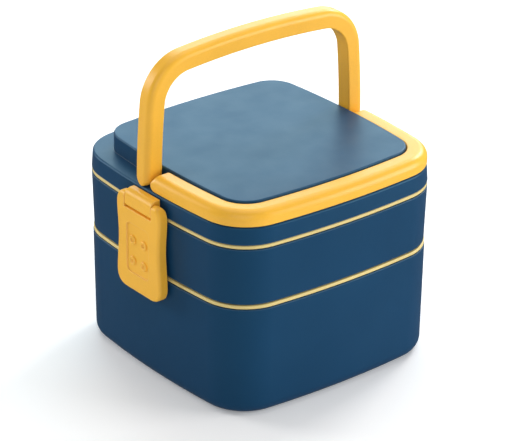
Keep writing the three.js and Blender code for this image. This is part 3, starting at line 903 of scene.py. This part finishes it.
def grip_ring(y, z):
    """A raised round button with a dimple in its middle, standing on the pocket's floor."""
    floor = LATCH_FACE - GRIP_DEPTH
    radius = 2.8 * MM
    dimple = 1.2 * MM
    dimple_base = 0.6 * dimple
    root = 0.5 * MM
    shoulder = 0.35 * MM
    rise = 0.65 * MM
    dimple_floor = 0.12 * MM
    crest = (radius + dimple) / 2
    half_width = radius - crest
    steps = 12
    profile = [(radius, floor - root)]
    for i in range(steps + 1):
        angle = math.pi * i / steps
        height = floor + shoulder + rise * math.sin(angle)
        profile.append((crest + half_width * math.cos(angle), height))
    profile.append((dimple_base, floor + dimple_floor))
    place = Matrix.Translation((0, y, z)) @ Matrix.Rotation(QUARTER_TURN, 4, "Y")
    return turned("grip_ring", profile, place, steps=40)


def grip_rings():
    """The four raised rings in the latch's finger pocket, as one piece."""
    rings = [grip_ring(y, z) for y in (-GRIP_RING_Y, GRIP_RING_Y) for z in GRIP_RING_HEIGHTS]
    return joined(rings[0], rings[1:])


def latch_pin_bore(half_length):
    """A round cutter along the latch pin's axis."""
    return bar("bore", LATCH_PIN_RADIUS + FIT_GAP, (0, -half_length, 0), (0, half_length, 0))


def latch_body():
    """The latch's plate with its pocket, the hollow behind it, the bracket's notch and the bore."""
    latch = latch_plate()
    pocket = rounded_panel(GRIP_HALF_WIDTH, GRIP_LOW, GRIP_HIGH, PANEL_CORNER)
    pocket_floor = LATCH_FACE - GRIP_DEPTH
    combined(latch, slab_along_x("pocket", pocket, pocket_floor, LATCH_FACE + 1 * MM))
    hollow = rounded_panel(HOLLOW_HALF_WIDTH, LATCH_END + HOLLOW_RISE, HOLLOW_HIGH, PANEL_CORNER)
    hollow_front = pocket_floor - FRONT_SKIN
    combined(latch, slab_along_x("hollow", hollow, -LATCH_BACK - 1 * MM, hollow_front))
    notch_half = BRACKET_HALF_WIDTH + FIT_GAP
    notch_low = BRACKET_LOW.z - LATCH_PIN.z - FIT_GAP
    notch_start = (-HALF_WIDTH, -notch_half, notch_low)
    notch_end = (HALF_WIDTH, notch_half, HALF_WIDTH)
    combined(latch, block("notch", notch_start, notch_end))
    return combined(latch, latch_pin_bore(LATCH_PIN_HALF_LENGTH + FIT_GAP))


def joined(piece, others):
    """Adds the other pieces' skins to a piece's own."""
    shell = bmesh.new()
    for source in (piece, *others):
        shell.from_mesh(source.data)
    shell.to_mesh(piece.data)
    shell.free()
    for other in others:
        bpy.data.objects.remove(other)
    return piece


def bracket_body():
    """The hinge bracket on the lid: a block over the pin and a tongue through the lid's wall."""
    back = HALF_WIDTH + FIT_GAP - LATCH_PIN.x
    low = BRACKET_LOW.z - LATCH_PIN.z
    top = BRACKET_HIGH.z - LATCH_PIN.z
    front = BRACKET_HIGH.x - LATCH_PIN.x
    heel = 2.5 * MM
    brow = 4.6 * MM
    side = [
        (back, top),
        (back, low),
        *quarter_circle(front - heel, low + heel, heel, -90, 10),
        *quarter_circle(front - brow, top - brow, brow, 0, 10),
    ]
    bracket = slab_along_y("bracket", side, BRACKET_HALF_WIDTH)
    tongue_start = (BRACKET_LOW.x - LATCH_PIN.x, -TONGUE_HALF_WIDTH, TONGUE_LOW)
    tongue_end = (back + 1 * MM, TONGUE_HALF_WIDTH, TONGUE_HIGH)
    combined(bracket, block("tongue", tongue_start, tongue_end), "UNION")
    return combined(bracket, latch_pin_bore(HALF_WIDTH))


def latch_pin_body():
    half = LATCH_PIN_HALF_LENGTH
    chamfer = 0.25 * MM
    radius = LATCH_PIN_RADIUS
    profile = [
        (radius - chamfer, -half),
        (radius, chamfer - half),
        (radius, half - chamfer),
        (radius - chamfer, half),
    ]
    return turned("latch_pin", profile, Matrix.Rotation(QUARTER_TURN, 4, "X"))


def make_side_fittings(side):
    """The latch, its bracket and its pin; the left side is the right one turned half round."""
    turn = math.pi if side == "left" else 0
    place = Matrix.Rotation(turn, 4, "Z") @ Matrix.Translation(LATCH_PIN)

    latch = latch_body()
    latch.name = f"side_latch_{side}"
    latch.data.transform(place)
    finished(latch, f"latch_{side}", "yellow_plastic", f"latch_{side}", edge=0.35 * MM)
    rings = grip_rings()
    rings.name = f"latch_grip_{side}"
    rings.data.transform(place)
    finished(rings, f"latch_{side}", "yellow_plastic", f"latch_{side}")

    bracket = bracket_body()
    bracket.name = f"hinge_bracket_{side}"
    bracket.data.transform(place)
    finished(bracket, "lid", "yellow_plastic", f"latch_bracket_{side}", edge=SOFT_EDGE)

    pin = latch_pin_body()
    pin.name = f"hinge_pin_{side}"
    pin.data.transform(place)
    finished(pin, "lid", "pin_steel", f"latch_pin_{side}")


# ---- Stage ----

def add_camera():
    """A long lens in front of the box's left front corner, looking a little down on it."""
    azimuth = math.radians(-38.6)
    elevation = math.radians(26.2)
    roll = math.radians(0.6)
    distance = 1.74
    aim = Vector((-2.4, 0.2, 77.0)) * MM
    level = Vector((math.sin(azimuth), -math.cos(azimuth), 0)) * math.cos(elevation)
    back = level + Vector((0, 0, math.sin(elevation)))
    upright = back.to_track_quat("Z", "Y")
    optics = bpy.data.cameras.new("camera")
    optics.lens = 210.7
    optics.sensor_width = 36
    camera = bpy.data.objects.new("camera", optics)
    camera.location = aim + back * distance
    camera.rotation_euler = (upright @ Quaternion((0, 0, 1), roll)).to_euler()
    bpy.context.scene.collection.objects.link(camera)
    bpy.context.scene.camera = camera


def add_softbox(name, location, width, radiance, tint=(1, 1, 1)):
    """A square lamp of this width, in metres, that faces the box with this radiance."""
    lamp = bpy.data.lights.new(name, "AREA")
    lamp.color = tint
    lamp.size = width
    lamp.energy = math.pi * width**2 * radiance
    softbox = bpy.data.objects.new(name, lamp)
    softbox.location = location
    softbox.rotation_euler = Vector(location).to_track_quat("Z", "Y").to_euler()
    bpy.context.scene.collection.objects.link(softbox)


def add_light():
    """Soft light from above, a strong lamp past the right rear corner, fills all round, a grey sky."""
    add_softbox("overhead", (0.2, 0.2, 1.6), 1.5, 1.5)
    add_softbox("key", (1.45, 0.45, 1.0), 0.5, 18.0)
    add_softbox("behind", (1.3, 1.7, 1.0), 1.8, 3.1, tint=(0.72, 0.93, 1.0))
    add_softbox("right", (1.25, -1.2, 0.5), 1.0, 6.4)
    add_softbox("left", (-0.8, 1.4, 0.6), 0.6, 10.0)
    add_softbox("front", (-1.1, -1.05, 0.9), 1.2, 1.6)
    world = bpy.data.worlds.new("studio")
    world.use_nodes = True
    background = world.node_tree.nodes["Background"]
    background.inputs["Color"].default_value = (1, 1, 1, 1)
    background.inputs["Strength"].default_value = 0.15
    bpy.context.scene.world = world
    bpy.context.scene.view_settings.view_transform = "Standard"


def add_floor():
    """A wide sheet just below the box, kept out of reflections so that they stay dark."""
    half = 3.0
    z = -0.1 * MM
    corners = [(-half, -half, z), (half, -half, z), (half, half, z), (-half, half, z)]
    floor = new_piece("floor", corners, [(0, 1, 2, 3)])
    floor.data.materials.append(floor_paper())
    floor.visible_glossy = False


add_camera()
add_light()
add_floor()
make_lower_container()
make_seal_lid("lower", LOWER_RIM_Z, LOWER_RIM_INSET)
make_gasket("lower", LOWER_RIM_INSET)
make_vent_plug("lower")
make_upper_container()
make_divider()
make_seal_lid("upper", UPPER_RIM_Z, 0)
make_gasket("upper", 0)
make_vent_plug("upper")
make_lid_shell()
make_front_trim()
make_handle()
make_handle_pin("handle_pin_left", -1)
make_handle_pin("handle_pin_right", 1)
make_side_fittings("left")
make_side_fittings("right")
